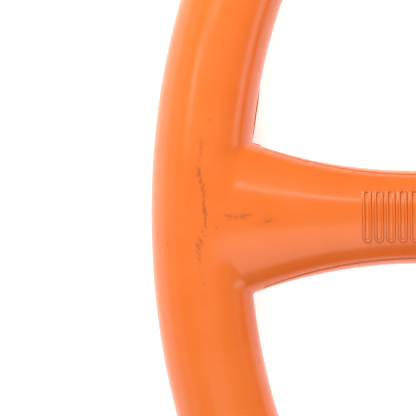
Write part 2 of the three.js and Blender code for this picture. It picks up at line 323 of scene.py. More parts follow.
def capped(rows: Array, first: Array, last: Array) -> tuple[Array, Array]:
    """A closed solid from a lattice of points that runs round an axis.

    Args:
        rows: places by step round the axis and by step from end to end.
        first: the pole that closes the first end.
        last: the pole that closes the other.

    Returns:
        Vertex places and quads; the quads at the poles repeat their pole.
    """
    index = np.arange(rows.shape[0] * rows.shape[1]).reshape(rows.shape[:2])
    pole = np.full((len(rows), 1), index.size)
    index = np.concatenate([pole, index, pole + 1], axis=1)
    return np.concatenate([rows.reshape(-1, 3), [first, last]]), lattice_quads(index, wrap=True)


def lathe(profile: Array, sides: int, centre: tuple[float, float]) -> tuple[Array, Array]:
    """A closed solid turned about a vertical axis.

    Args:
        profile: radius and height, one row per point, its first and last on the axis.
        sides: number of steps round.
        centre: the axis's place.

    Returns:
        Vertex places and quads; the quads at the poles repeat their pole.
    """
    turn = np.linspace(0, 2 * math.pi, sides, endpoint=False)
    ring = profile[1:-1]
    x = centre[0] + ring[None, :, 0] * np.cos(turn)[:, None]
    y = centre[1] + ring[None, :, 0] * np.sin(turn)[:, None]
    z = np.broadcast_to(ring[None, :, 1], x.shape)
    poles = np.array([[*centre, profile[0, 1]], [*centre, profile[-1, 1]]])
    return capped(np.stack([x, y, z], axis=-1), *poles)


# ---- The shells' skins ----


@dataclass(frozen=True)
class Blend:
    """The tube and the grip as one rounded body, as a distance that is 0 on its surface.

    The surface is the skin, or the hollow's side of the wall where inset is the wall.
    """

    sizes: WeightSizes
    inset: float = 0.0

    @property
    def grip(self) -> GripOutline:
        """The grip's outline at this inset."""
        return self.sizes.grip.inside(self.inset)

    @property
    def tube(self) -> float:
        """The tube's radius at this inset."""
        return self.sizes.oval.tube - self.inset

    def tube_gap(self, p: Array) -> tuple[Array, Array]:
        """Distance to the tube's skin and its direction: distance to the oval, less the radius."""
        t = self.sizes.oval.nearest(p[:, :2])
        outward = self.sizes.oval.outward(t)
        out = np.sum((p[:, :2] - self.sizes.oval.point(t)) * outward, axis=-1)
        away = np.maximum(np.hypot(out, p[:, 2]), 1e-9)
        facing = np.column_stack([outward * (out / away)[:, None], p[:, 2] / away])
        return away - self.tube, facing

    def grip_gap(self, p: Array) -> tuple[Array, Array]:
        """Distance to the grip's skin and its direction.

        The superellipse's level, 1 on the skin, less 1, is divided by its own slope, which is
        the distance close to the skin. Past the oval's centreline the grip has ended.

        Args:
            p: points over the middle plane, one per row.

        Returns:
            A distance and a unit direction for each point.
        """
        g, power = self.grip, self.grip.squareness
        x, y, z = p.T
        reach, thickness = g.reach(x), g.thickness(x)
        a, b = np.abs(y) / reach, np.abs(z) / thickness
        level = np.maximum((a**power + b**power) ** (1 / power), 1e-6)
        scale = level ** (1 - power)
        reach_slope = x / np.sqrt(np.maximum(g.flare**2 - x**2, 1e-9))
        thickness_slope = 2 * (g.end_depth - g.depth) * x / g.end**2
        slope = np.column_stack([
            -scale * (a**power * reach_slope / reach + b**power * thickness_slope / thickness),
            scale * a ** (power - 1) / reach * np.sign(y),
            scale * b ** (power - 1) / thickness * np.sign(z),
        ])
        steep = np.maximum(np.linalg.norm(slope, axis=1), 1e-9)
        return np.maximum((level - 1) / steep, np.abs(x) - g.end), slope / steep[:, None]

    def gap(self, p: Array) -> Array:
        """Distance to the joined skin: the smaller of the two, with a fillet where they cross.

        The crossing is 0 where the two skins run into each other and 1 at a right angle. The
        fillet is crisp at a right angle, broad where they cross at a slant, and nothing where
        they run together, so the crests stay level.

        Args:
            p: points over the middle plane, one per row.

        Returns:
            A distance for each point, negative inside.
        """
        tube, tube_facing = self.tube_gap(p)
        grip, grip_facing = self.grip_gap(p)
        crossing = np.clip(1 - np.sum(tube_facing * grip_facing, axis=1), 0, 1)
        slant = np.sqrt(crossing) * (1 - crossing) ** 3
        width = self.sizes.fillet * crossing + self.sizes.broad_fillet * slant + 1e-7
        share = np.clip(0.5 + 0.5 * (grip - tube) / width, 0, 1)
        return grip * (1 - share) + tube * share - width * share * (1 - share)

    def slope(self, p: Array) -> Array:
        """The gap's gradient, from differences a hundredth of a millimetre to each side."""
        step = 0.01 * MM
        sides = []
        for axis in range(3):
            shift = np.zeros(3)
            shift[axis] = step
            sides.append((self.gap(p + shift) - self.gap(p - shift)) / (2 * step))
        return np.column_stack(sides)

    def settle(self, p: Array, flat: Array) -> tuple[Array, Array]:
        """Moves points onto the skin by Newton steps along the gradient.

        Args:
            p: points near the skin.
            flat: True for points that stay at their height, on the seam.

        Returns:
            The settled points and their outward unit normals, level for the flat points.
        """
        p = p.copy()
        for _ in range(5):
            way = self.slope(p)
            way[flat, 2] = 0
            size = np.maximum(np.sum(way * way, axis=1), 1e-9)
            p -= way * np.clip(self.gap(p) / size, -MM, MM)[:, None]
        way = self.slope(p)
        way[flat, 2] = 0
        p[:, 2] = np.minimum(p[:, 2], self.tube)
        return p, way / np.linalg.norm(way, axis=1, keepdims=True)

    def height(self, xy: Array, depth: float) -> Array:
        """Height of the surface that lies depth under the skin, over points in the plane."""
        low, high = np.zeros(len(xy)), np.full(len(xy), self.sizes.oval.tube)
        return halve(low, high, lambda z: self.gap(np.column_stack([xy, z])) < -depth, 30)


@dataclass(frozen=True)
class RubMarks:
    """Where the front is rubbed: along both crests where the grip runs into the tube.

    The tube's band swings in towards the grip where the crests meet, and both wander a little.
    """

    oval: Oval
    meet: float = 2 * MM
    swing: float = 2.8 * MM
    swing_reach: float = 9 * MM
    outset: float = 0.8 * MM
    tube_width: float = 0.6 * MM
    tube_middle: float = 3 * MM
    tube_reach: float = 28 * MM
    grip_drop: float = 0.9 * MM
    grip_width: float = 0.7 * MM
    grip_middle: float = 62 * MM
    grip_reach: float = 14 * MM
    grip_weight: float = 1.25
    wander: float = 0.4 * MM
    right_side: float = 0.55

    def band(self, off: Array, width: float, along: Array, reach: float) -> Array:
        """A narrow bell across with a wide faint one round it, fading out along a reach."""
        core, halo = np.exp(-((off / width) ** 2)), np.exp(-((off / (5 * width)) ** 2))
        return (0.75 * core + 0.25 * halo) * np.exp(-((along / reach) ** 4))

    def strength(self, p: Array) -> Array:
        """How rubbed each point is: the larger of the tube's band and the grip's.

        Args:
            p: points on the skin, one per row.

        Returns:
            A value for each point, 0 where it is clean, and fainter on the right side.
        """
        x, y = np.abs(p[:, 0]), p[:, 1]
        crest = self.oval.half_width * np.sqrt(np.maximum(1 - (y / self.oval.half_length) ** 2, 0))
        swing = self.outset - self.swing * np.exp(-(((y - self.meet) / self.swing_reach) ** 2))
        off_tube = x - crest - swing - self.wander * np.sin(y / (2.3 * MM))
        off_grip = y + self.grip_drop - self.wander * np.sin(x / (3.1 * MM))
        tube = self.band(off_tube, self.tube_width, y - self.tube_middle, self.tube_reach)
        grip = self.band(off_grip, self.grip_width, x - self.grip_middle, self.grip_reach)
        side = np.where(p[:, 0] < 0, 1.0, self.right_side)
        return side * np.maximum(tube, self.grip_weight * grip)


@dataclass
class HalfShell:
    """One half shell: a fine skin over the tube and the grip, with a wall, bosses and holes."""

    sizes: WeightSizes
    half: Half
    name: str
    finest: float = 0.13 * MM
    section_step: float = 1.45 * MM
    length_step: float = 1.8 * MM
    flare_middle: float = -45 * MM
    samples: int = 6000
    notch_place: float = -37.2 * MM
    notch_depth: float = 1.3 * MM
    notch_width: float = 0.45 * MM
    flash_place: float = -56.9 * MM
    flash_width: float = 1.3 * MM
    flash_height: float = 0.9 * MM
    blend: Blend = field(init=False)

    def __post_init__(self) -> None:
        """Makes the skin's distance."""
        self.blend = Blend(self.sizes)

    def grip_shares(self) -> Array:
        """Shares of the turn between the seams for the grip's lengthwise lines.

        They are spaced by arc length round a section halfway along the flare.
        """
        x = np.array(self.flare_middle)
        share = np.linspace(0, 1, self.samples)
        y, z = self.blend.grip.on_section(x, self.turn(self.blend, x, share))
        along = np.concatenate([[0], np.cumsum(np.hypot(np.diff(y), np.diff(z)))])
        places = spaced(along[-1], self.finest, self.section_step, 0.25, (0, along[-1]))
        return np.interp(places, along, share)

    def turn(self, blend: Blend, x: Array, share: Array) -> Array:
        """The turn at x of a line that is a share of the way from one seam to the other."""
        least = blend.grip.turn_at(x, self.sizes.seam.height(x, self.half))
        return least + (math.pi - 2 * least) * share

    def grip_line(self, blend: Blend, x: Array, share: Array) -> Array:
        """Points on the grip at x and shares of the turn between the seams."""
        y, z = blend.grip.on_section(x, self.turn(blend, x, share))
        return np.stack([x, y, z], axis=-1)

    def crease(self, blend: Blend, share: Array) -> Array:
        """Where each lengthwise line of the grip meets the left side of the tube, by halving.

        Args:
            blend: the skin, or the hollow's side of the wall.
            share: each line's share of the turn between the seams.

        Returns:
            One point for each line.
        """
        end = blend.grip.end
        low, high = np.full(len(share), -end), np.full(len(share), -0.6 * end)

        def in_tube(x: Array) -> Array:
            """True where the grip's line at x is still inside the tube."""
            return blend.tube_gap(self.grip_line(blend, x, share))[0] < 0

        return self.grip_line(blend, halve(low, high, in_tube, 45), share)

    def arc_turns(self, first: float, last: float, shares: Array) -> Array:
        """Angles at shares of the arc length between two angles of the oval.

        Args:
            first: the oval's angle where the arc starts.
            last: the angle where it ends.
            shares: rising shares of the arc's length, from 0 to 1.

        Returns:
            The angles, without the two ends.
        """
        t = np.linspace(first, last, self.samples)
        step = np.linalg.norm(np.diff(self.sizes.oval.point(t), axis=0), axis=1)
        along = np.concatenate([[0], np.cumsum(step)])
        return np.interp(shares * along[-1], along, t)[1:-1]

    def sheet(self, blend: Blend) -> tuple[Array, Array, Array]:
        """The skin or the hollow's side, as points, quads and a flag for points on the seam.

        The tube is a lattice of the angle round the oval and the turn round its section. Beside
        the grip its turns end at the crease, and there the grip's lines carry on from its last
        points to the other side.

        Args:
            blend: the skin, or the hollow's side of the wall.

        Returns:
            Vertex places, quads, and True for each vertex on the seam.
        """
        oval = self.sizes.oval
        shares = self.grip_shares()
        crease = self.crease(blend, shares)
        t_left = oval.nearest(crease[:, :2]) % (2 * math.pi)
        out, up = oval.section(crease)
        half_oval = math.pi * math.sqrt((oval.half_width**2 + oval.half_length**2) / 2)
        arc = spaced(half_oval, 0.4 * MM, self.length_step, 0.12, (0, half_oval)) / half_oval
        upper = self.arc_turns(math.pi - t_left[0], t_left[0], arc)
        lower = self.arc_turns(t_left[-1], 3 * math.pi - t_left[-1], arc)
        least = math.asin(self.sizes.seam.gap / 2 / blend.tube)
        crease_turn = np.arctan2(up, out)
        open_turn = np.full(len(upper), math.pi - least)
        t = np.concatenate([(math.pi - t_left)[::-1], upper, t_left, lower])
        last = np.concatenate([crease_turn[::-1], open_turn, crease_turn, open_turn])
        half_round = math.pi * oval.tube
        rows = spaced(half_round, self.finest, self.section_step, 0.25, (0, half_round)) / half_round
        section = least + (last[:, None] - least) * rows[None, :]
        flat = oval.point(t)[:, None, :]
        flat = flat + oval.outward(t)[:, None, :] * (blend.tube * np.cos(section))[..., None]
        tube = np.concatenate([flat, (blend.tube * np.sin(section))[..., None]], axis=-1)
        index = np.arange(tube.shape[0] * tube.shape[1]).reshape(tube.shape[:2])

        lines, upper_count = len(shares), len(upper)
        left = index[lines + upper_count: 2 * lines + upper_count, -1]
        right = index[:lines, -1][::-1]
        length = 2 * oval.half_width
        notch_share = (1 - self.notch_place / crease[0, 0]) / 2
        places = (0.0, notch_share * length, length)
        along = spaced(length, self.finest * 1.7, self.length_step, 0.16, places) / length
        x = crease[:, 0][:, None] * (1 - 2 * along[None, 1:-1])
        grip = np.stack([self.grip_line(blend, column, shares) for column in x.T], axis=1)
        grip_index = index.size + np.arange(grip.shape[0] * grip.shape[1]).reshape(grip.shape[:2])
        grip_index = np.column_stack([left, grip_index, right])

        points = np.concatenate([tube.reshape(-1, 3), grip.reshape(-1, 3)])
        quads = np.concatenate([lattice_quads(index, wrap=True), lattice_quads(grip_index)[:, ::-1]])
        seam = np.zeros(len(points), bool)
        seam[np.unique(rim_edges(quads))] = True
        return points, quads, seam

    def over_seam(self, p: Array) -> Array:
        """Height of points over this half's edge, which is raised only along the grip."""
        beside_tube = self.blend.tube_gap(p)[0] > 0.3 * MM
        raised = self.sizes.seam.height(p[:, 0], self.half)
        return p[:, 2] - np.where(beside_tube, raised, self.sizes.seam.gap / 2)

    def edge_details(self, p: Array, facing: Array) -> Array:
        """Rounds the edge at the seam, and gives the back's edge a notch and a bit of flash.

        Within one edge radius of the seam a point moves in by that radius less the height of a
        quarter circle. The notch and the flash are a bell-shaped dip and bump of the side that
        the back wraps round the grip.

        Args:
            p: points on the skin.
            facing: their outward normals.

        Returns:
            The moved points.
        """
        radius = self.sizes.edge_round
        share = np.clip((radius - self.over_seam(p)) / radius, 0, 1)
        move = -radius * (1 - np.sqrt(1 - share**2))
        if self.half is Half.BACK:
            side = (p[:, 1] > 0) & (self.blend.tube_gap(p)[0] > -0.5 * MM)
            wrap = side / (1 + np.exp(np.clip((p[:, 2] - 0.5 * MM) / (0.4 * MM), -30, 30)))
            notch = np.exp(-(((p[:, 0] - self.notch_place) / self.notch_width) ** 4))
            flash = np.exp(-(((p[:, 0] - self.flash_place) / self.flash_width) ** 4))
            move = move + wrap * (self.flash_height * flash - self.notch_depth * notch)
        return p + facing * move[:, None]

    def placed(self, points: Array) -> Array:
        """Points over the middle plane, moved to this half's side of it in the weight."""
        moved = points.copy()
        moved[:, 2] = self.sizes.middle + self.half.value * moved[:, 2]
        return moved

    def build(self) -> bpy.types.Object:
        """The closed shell: the outer sheet, the same sheet a wall deeper, and the rims between."""
        hollow = Blend(self.sizes, self.sizes.wall)
        points, quads, seam = self.sheet(self.blend)
        outer, facing = self.blend.settle(points, seam)
        inner, _ = hollow.settle(self.sheet(hollow)[0], seam)
        finished = self.edge_details(outer, facing)
        rim = rim_edges(quads)
        count = len(points)
        faces = np.concatenate([
            quads,
            quads[:, ::-1] + count,
            np.column_stack([rim[:, 1], rim[:, 0], rim[:, 0] + count, rim[:, 1] + count]),
        ])
        body = np.concatenate([finished, inner])
        near_seam = np.exp(-(self.over_seam(body) / (1.2 * MM)) ** 2)
        rub = RubMarks(self.sizes.oval).strength(outer) * (self.half is Half.FRONT)
        masks = {"rub": np.tile(rub, 2), "seam_edge": near_seam}
        return make_piece(self.name, self.placed(body), faces, masks=masks)


# ---- Screw holes and bosses ----


class Cover(Enum):
    """What closes a screw's hole: its nodes' name, how many there are, and its screw's name."""

    FOOT = ("rest_foot", 4, "foot")
    END = ("end_cap", 2, "end")
    FLARE = ("flare_cap", 4, "flare")


@dataclass(frozen=True)
class ScrewHole:
    """One screw's place, and its depths from the middle plane towards the back."""

    node: str
    cover: Cover
    centre: tuple[float, float]
    cover_radius: float
    head_face: float
    insert_face: float
    fit: float = 0.2 * MM
    head_height: float = 3 * MM
    head_radius: float = 3.5 * MM
    shank_radius: float = 1.95 * MM
    insert_radius: float = 2.9 * MM
    insert_length: float = 7.5 * MM
    boss_wall: float = 1.7 * MM
    clearance: float = 8.5 * MM

    @property
    def cover_end(self) -> float:
        """Depth at which the cover's hole ends."""
        return self.head_face + self.fit / 2

    @property
    def seat(self) -> float:
        """Depth of the face that the screw's head pulls on."""
        return self.head_face - self.head_height - self.fit / 2

    @property
    def split(self) -> float:
        """Depth at which the two bosses meet."""
        return self.insert_face + self.fit

    @staticmethod
    def all_of(middle: float) -> list["ScrewHole"]:
        """Reads every screw's place and depths from the boxes of its nodes.

        Args:
            middle: height of the middle plane.

        Returns:
            The holes, in the order of their covers' names.
        """
        holes = []
        for cover in Cover:
            node, count, screw = cover.value
            for number in range(1, count + 1):
                low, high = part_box(f"{node}_{number}")
                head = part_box(f"{screw}_screw_{number}")[0]
                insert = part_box(f"{screw}_insert_{number}")[0]
                centre = ((low.x + high.x) / 2, (low.y + high.y) / 2)
                radius = (high.x - low.x) / 2
                faces = (middle - head.z, middle - insert.z)
                holes.append(ScrewHole(f"{node}_{number}", cover, centre, radius, *faces))
        return holes

    def front_boss(self, blend: Blend) -> tuple[Array, Array]:
        """The post in the front shell that holds the insert, up to the middle of the wall."""
        radius = self.insert_radius + self.boss_wall
        return boss(self.centre, radius, -self.split + self.fit / 2, blend)

    def front_bore(self) -> tuple[Array, Array]:
        """The insert's blind hole, with a drill point at its end."""
        radius = self.insert_radius + self.fit
        start, end = -self.split - MM, -self.split + self.insert_length + 2 * self.fit
        profile = [(0, start), (radius, start), (radius, end), (0, end + 0.4 * MM)]
        return lathe(np.array(profile), 40, self.centre)

    def back_boss(self, blend: Blend) -> tuple[Array, Array]:
        """The post in the back shell round the cover and the head."""
        radius = self.cover_radius + self.fit + self.boss_wall
        return boss(self.centre, radius, self.split + self.fit / 2, blend)

    def back_bore(self, outside: float) -> tuple[Array, Array]:
        """The stepped hole for cover, head and shank, opening to clear the front's post."""
        wide = self.cover_radius + self.fit
        head = self.head_radius + self.fit
        shank = self.shank_radius + self.fit
        post = self.insert_radius + self.boss_wall + self.fit
        step = self.split + self.fit / 2
        profile = [
            (0, outside), (wide, outside), (wide, self.cover_end), (head, self.cover_end),
            (head, self.seat), (shank, self.seat), (shank, step), (post, step),
            (post, -self.clearance), (0, -self.clearance),
        ]
        return lathe(np.array(profile), 48, self.centre)


def boss(centre: tuple[float, float], radius: float, base: float, blend: Blend) -> tuple[Array, Array]:
    """An upright post from a base height to the middle of the shell's wall.

    Its top is a disc of rings, each point at the height of the surface half a wall under the
    skin; its side and its flat base close it.

    Args:
        centre: the post's axis.
        radius: its radius.
        base: height of its flat end over the middle plane.
        blend: the shell's outer skin.

    Returns:
        Vertex places and quads.
    """
    turn = np.linspace(0, 2 * math.pi, 40, endpoint=False)
    radii = np.concatenate([[radius], np.linspace(radius, 0.5 * MM, 6)])
    round_about = np.stack([np.cos(turn), np.sin(turn)], axis=-1)
    xy = np.array(centre) + radii[None, :, None] * round_about[:, None, :]
    z = blend.height(xy.reshape(-1, 2), blend.sizes.wall / 2).reshape(xy.shape[:2])
    z[:, 0] = base
    top = blend.height(np.array([centre]), blend.sizes.wall / 2)[0]
    rows = np.concatenate([xy, z[..., None]], axis=-1)
    return capped(rows, np.array([*centre, base]), np.array([*centre, top]))


def combine(target: bpy.types.Object, solids: list[tuple[Array, Array]], operation: str,
            place: Callable[[Array], Array]) -> None:
    """Joins solids to a piece, or cuts them from it, with one exact Boolean.

    Args:
        target: the piece, changed in place.
        solids: vertex places and quads of solids that stay apart from each other.
        operation: UNION or DIFFERENCE.
        place: puts the solids' points into the piece's frame.
    """
    starts = np.cumsum([0] + [len(points) for points, _ in solids[:-1]])
    points = place(np.concatenate([points for points, _ in solids]))
    faces = np.concatenate([quads + start for (_, quads), start in zip(solids, starts)])
    tool = make_piece("boolean_tool", points, faces)
    change = target.modifiers.new("change", "BOOLEAN")
    change.operation = operation
    change.solver = "EXACT"
    change.object = tool
    graph = bpy.context.evaluated_depsgraph_get()
    mesh = bpy.data.meshes.new_from_object(target.evaluated_get(graph))
    target.modifiers.clear()
    old = target.data
    target.data = mesh
    mesh.name = target.name
    bpy.data.objects.remove(tool)
    bpy.data.meshes.remove(old)


# ---- Covers ----


@dataclass(frozen=True)
class RestFoot:
    """A turned rubber foot: a plug in its hole and a rounded sole with a groove and a dimple."""

    hole: ScrewHole
    middle: float
    rounding: float = 0.8 * MM
    groove_place: float = 3.9 * MM
    groove_depth: float = 0.35 * MM
    groove_width: float = 0.5 * MM
    dimple: float = 1.6 * MM

    def profile(self) -> Array:
        """Radius and height from the sole's middle, round the side, to the plug's hidden end.

        The sole's height is 0, less two bell-shaped hollows: a dimple round the axis and a
        groove round it. The rounding is a quarter circle.
        """
        radius = self.hole.cover_radius
        r = np.linspace(0, radius - self.rounding, 44)
        groove = np.exp(-(((r - self.groove_place) / self.groove_width) ** 4))
        dimple = np.exp(-((r / self.dimple) ** 4))
        sole = np.column_stack([r, self.groove_depth * (groove + dimple)])
        turn = np.linspace(0, math.pi / 2, 9)[1:]
        edge = np.column_stack([
            radius - self.rounding * (1 - np.sin(turn)), self.rounding * (1 - np.cos(turn))
        ])
        top = self.middle - self.hole.cover_end - self.hole.fit
        end = np.array([
            (radius, top - 0.4 * MM), (radius - 0.12 * MM, top - 0.1 * MM),
            (radius - 0.4 * MM, top), (0, top),
        ])
        return np.concatenate([sole, edge, end])

    def build(self) -> bpy.types.Object:
        """The foot as a piece that stands for its node."""
        points, faces = lathe(self.profile(), 72, self.hole.centre)
        piece = make_piece(f"{self.hole.node}_turned", points, faces)
        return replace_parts(piece, self.hole.node)


@dataclass(frozen=True)
class HoleCap:
    """A push-in cap that carries the back's skin over a screw hole, with a slot to lift it by."""

    hole: ScrewHole
    blend: Blend
    middle: float
    chamfer: float = 0.35 * MM
    slot_length: float = 1.7 * MM
    slot_width: float = 0.42 * MM
    slot_depth: float = 0.6 * MM

    def build(self) -> bpy.types.Object:
        """The cap: rings over its face at the skin's height, its side, and its flat hidden end.

        The face sinks by a quarter circle at its edge, and by a flat-bottomed bell along its
        slot.
        """
        centre = np.array(self.hole.centre)
        turn = np.linspace(0, 2 * math.pi, 96, endpoint=False)
        radius = self.hole.cover_radius
        radii = np.concatenate([
            np.linspace(0.1 * MM, radius - self.chamfer, 30),
            radius - self.chamfer * (1 - np.sin(np.linspace(0, math.pi / 2, 6)[1:])),
        ])
        round_about = np.stack([np.cos(turn), np.sin(turn)], axis=-1)
        offset = radii[None, :, None] * round_about[:, None, :]
        share = np.clip((offset[..., 0] / self.slot_length) ** 2, 0, 4)
        across = np.clip((offset[..., 1] / self.slot_width) ** 2, 0, 4)
        sink = self.slot_depth * np.exp(-(share**3) - across**2)
        over = np.clip((radii - radius + self.chamfer) / self.chamfer, 0, 1)
        sink = sink + self.chamfer * (1 - np.sqrt(1 - over**2))[None, :]
        skin = self.blend.height((centre + offset).reshape(-1, 2), 0.02 * MM).reshape(sink.shape)
        face = np.concatenate([centre + offset, (skin - sink)[..., None]], axis=-1)
        end = self.hole.cover_end + self.hole.fit
        ring = face[:, -1:].copy()
        ring[..., 2] = end
        crown = self.blend.height(centre[None, :], 0.02 * MM)[0] - self.slot_depth
        poles = np.array([[*centre, crown], [*centre, end]])
        points, faces = capped(np.concatenate([face, ring], axis=1), *poles)
        points[:, 2] = self.middle - points[:, 2]
        piece = make_piece(f"{self.hole.node}_pressed", points, faces)
        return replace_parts(piece, self.hole.node)


# ---- The grip's raised pattern ----


@dataclass(frozen=True)
class GripPattern:
    """A plain band of narrow upright raised loops, side by side across the front of the grip."""

    sizes: WeightSizes
    loops: int = 10
    pitch: float = 4.15 * MM
    loop_width: float = 2.3 * MM
    loop_height: float = 17.4 * MM
    bead: float = 0.42 * MM
    proud: float = 0.6 * MM
    skirt: float = 0.22 * MM

    def profile(self) -> tuple[Array, Array, Array]:
        """The bead's section: sideways, upwards, and how much painted shade and dirt lie there.

        A skirt lies nearly flush on either side of a half round, and the section closes under
        the skin. The foot of the half round carries painted shade, as its crease would be shaded, with
        some dirt.
        """
        turn = np.linspace(0, math.pi, 13)
        side = np.concatenate([
            [-self.bead - self.skirt], -self.bead * np.cos(turn), [self.bead + self.skirt]
        ])
        up = np.concatenate([
            [0.02 * MM], 0.05 * MM + (self.proud - 0.05 * MM) * np.sin(turn) ** 0.8, [0.02 * MM]
        ])
        # The foot's mask is painted shade in the crease round the bead, with some dirt; the skirt's
        # ends get a quarter of it.
        foot_dirt_and_shade = np.clip(1 - (up - 0.05 * MM) / (0.5 * self.proud), 0, 1)
        foot_dirt_and_shade[[0, -1]] = 0.25
        side = np.concatenate([side, [self.bead, -self.bead]])
        up = np.concatenate([up, [-0.5 * MM, -0.5 * MM]])
        return side, up, np.concatenate([foot_dirt_and_shade, [0, 0]])

    def swept(self, path: Array, side: Array, up: Array) -> tuple[Array, Array]:
        """The bead carried round a loop on the grip.

        The path is lifted onto the grip's skin, and each section stands on the skin's normal,
        sideways to the path.

        Args:
            path: places in the plane, one row per step, the last beside the first.
            side: the section's sideways places.
            up: its upward places.

        Returns:
            Vertex places and quads.
        """
        grip = self.sizes.grip
        step = 0.02 * MM

        def lift(xy: Array) -> Array:
            """The point on the skin over a place."""
            return np.column_stack([xy, grip.top(xy[:, 0], xy[:, 1])])

        base = lift(path)
        ahead = np.roll(base, -1, axis=0) - np.roll(base, 1, axis=0)
        ahead = ahead / np.linalg.norm(ahead, axis=1, keepdims=True)
        along_x = lift(path + [step, 0]) - lift(path - [step, 0])
        along_y = lift(path + [0, step]) - lift(path - [0, step])
        up_way = np.cross(along_x, along_y)
        up_way = up_way / np.linalg.norm(up_way, axis=1, keepdims=True)
        side_way = np.cross(up_way, ahead)
        body = base[:, None, :] + side_way[:, None, :] * side[None, :, None]
        body = body + up_way[:, None, :] * up[None, :, None]
        index = np.arange(len(path) * len(side)).reshape(len(path), len(side))
        ring = np.concatenate([index, index[:, :1]], axis=1)
        return body.reshape(-1, 3), lattice_quads(ring, wrap=True)

    def loop(self, x: float) -> Array:
        """One loop's path: two upright sides joined by half circles, counter-clockwise."""
        radius = self.loop_width / 2
        straight = self.loop_height / 2 - radius
        turn = np.linspace(0, math.pi, 20)
        rise = np.linspace(-straight, straight, 42)[1:-1]
        arc = np.column_stack([radius * np.cos(turn), straight + radius * np.sin(turn)])
        side = np.column_stack([np.full(len(rise), radius), rise])
        return np.concatenate([side, arc, -side, -arc]) + [x, 0]

    def build(self) -> bpy.types.Object:
        """All loops as one piece."""
        side, up, foot_dirt_and_shade = self.profile()
        places = (np.arange(self.loops) - (self.loops - 1) / 2) * self.pitch
        parts = [self.swept(self.loop(x), side, up) for x in places]
        count = len(parts[0][0])
        points = np.concatenate([part[0] for part in parts])
        quads = parts[0][1]
        if signed_volume(parts[0][0], quads) < 0:
            quads = quads[:, ::-1]
        faces = np.concatenate([quads + number * count for number in range(self.loops)])
        points[:, 2] += self.sizes.middle
        # This mask carries the painted shade and dirt at the beads' feet to the material.
        masks = {"foot_dirt_and_shade": np.tile(foot_dirt_and_shade, len(points) // len(foot_dirt_and_shade))}
        return make_piece("grip_pattern", points, faces, masks=masks)


# ---- Finishes ----

Colour = tuple[float, float, float]


def srgb(red: int, green: int, blue: int) -> Colour:
    """A screen colour as linear light: ((c + 0.055) / 1.055) to the power 2.4, per channel."""
    channels = (red / 255, green / 255, blue / 255)
    linear = [c / 12.92 if c <= 0.04045 else ((c + 0.055) / 1.055) ** 2.4 for c in channels]
    return (linear[0], linear[1], linear[2])


class Wiring:
    """A node tree being wired. Values given to its nodes are constants or other nodes' sockets."""

    def __init__(self, tree: bpy.types.NodeTree) -> None:
        """Takes the tree to add nodes to."""
        self.tree = tree

    def node(self, kind: str, values: dict | None = None, **settings: object) -> bpy.types.Node:
        """Adds a node.

        Args:
            kind: the node's type.
            values: constants or sockets, by the input's name or number.
            settings: the node's own properties.

        Returns:
            The new node.
        """
        made = self.tree.nodes.new(kind)
        for key, value in settings.items():
            setattr(made, key, value)
        for key, value in (values or {}).items():
            if isinstance(value, bpy.types.NodeSocket):
                self.tree.links.new(value, made.inputs[key])
            elif isinstance(value, tuple) and made.inputs[key].type == "RGBA":
                made.inputs[key].default_value = (*value, 1)
            else:
                made.inputs[key].default_value = value
        return made

    def math(self, operation: str, first: object, second: object = 0.0) -> bpy.types.NodeSocket:
        """One sum, product or the like of two values."""
        return self.node("ShaderNodeMath", {0: first, 1: second}, operation=operation).outputs[0]

    def add(self, first: object, second: object) -> bpy.types.NodeSocket:
        """The sum of two values."""
        return self.math("ADD", first, second)

    def times(self, first: object, second: object) -> bpy.types.NodeSocket:
        """The product of two values."""
        return self.math("MULTIPLY", first, second)

    def step(self, value: object, low: float, high: float) -> bpy.types.NodeSocket:
        """A smooth rise from 0 at low to 1 at high."""
        values = {"Value": value, "From Min": low, "From Max": high}
        made = self.node("ShaderNodeMapRange", values, interpolation_type="SMOOTHSTEP")
        return made.outputs["Result"]

    def mix(self, share: object, first: object, second: object) -> bpy.types.NodeSocket:
        """First colour to second colour by share."""
        return self.node("ShaderNodeMix", {0: share, 6: first, 7: second}, data_type="RGBA").outputs[2]

    def noise(self, where: object, scale: object, detail: float = 3.0) -> bpy.types.NodeSocket:
        """Soft noise about 0.5, scale cells to the metre."""
        values = {"Vector": where, "Scale": scale, "Detail": detail}
        return self.node("ShaderNodeTexNoise", values).outputs["Fac"]

    def stretched(self, where: object, factors: tuple[float, float, float]) -> bpy.types.NodeSocket:
        """Coordinates scaled along their axes, which stretches a pattern along the small ones."""
        return self.node("ShaderNodeMapping", {"Vector": where, "Scale": factors}).outputs[0]

    def mask(self, name: str) -> bpy.types.NodeSocket:
        """A value that the mesh carries at its vertices; 0 where it has none."""
        made = self.node("ShaderNodeAttribute", attribute_name=name)
        return made.outputs["Fac"]


Given = Callable[[str], bpy.types.NodeSocket]


def effect(name: str, inputs: dict[str, float], output: str) -> Callable:
    """Turns a wiring function into one that returns its node group, built once.

    Args:
        name: the group's name.
        inputs: its value inputs and their defaults; every group also takes a Vector.
        output: its output's name.

    Returns:
        The decorator. What it wraps wires the group and returns the socket for its output.
    """
    def wrap(wire: Callable[[Wiring, Given], bpy.types.NodeSocket]) -> Callable:
        """Makes the function that builds the group or finds it."""
        def group() -> bpy.types.NodeTree:
            """The group with its named sockets."""
            known = bpy.data.node_groups.get(name)
            if known:
                return known
            tree = bpy.data.node_groups.new(name, "ShaderNodeTree")
            tree.interface.new_socket("Vector", in_out="INPUT", socket_type="NodeSocketVector")
            for key, value in inputs.items():
                socket = tree.interface.new_socket(key, in_out="INPUT", socket_type="NodeSocketFloat")
                socket.default_value = value
            tree.interface.new_socket(output, in_out="OUTPUT", socket_type="NodeSocketFloat")
            wiring = Wiring(tree)
            source = wiring.node("NodeGroupInput")
            result = wire(wiring, lambda key: source.outputs[key])
            wiring.node("NodeGroupOutput", {output: result})
            return tree

        return group

    return wrap


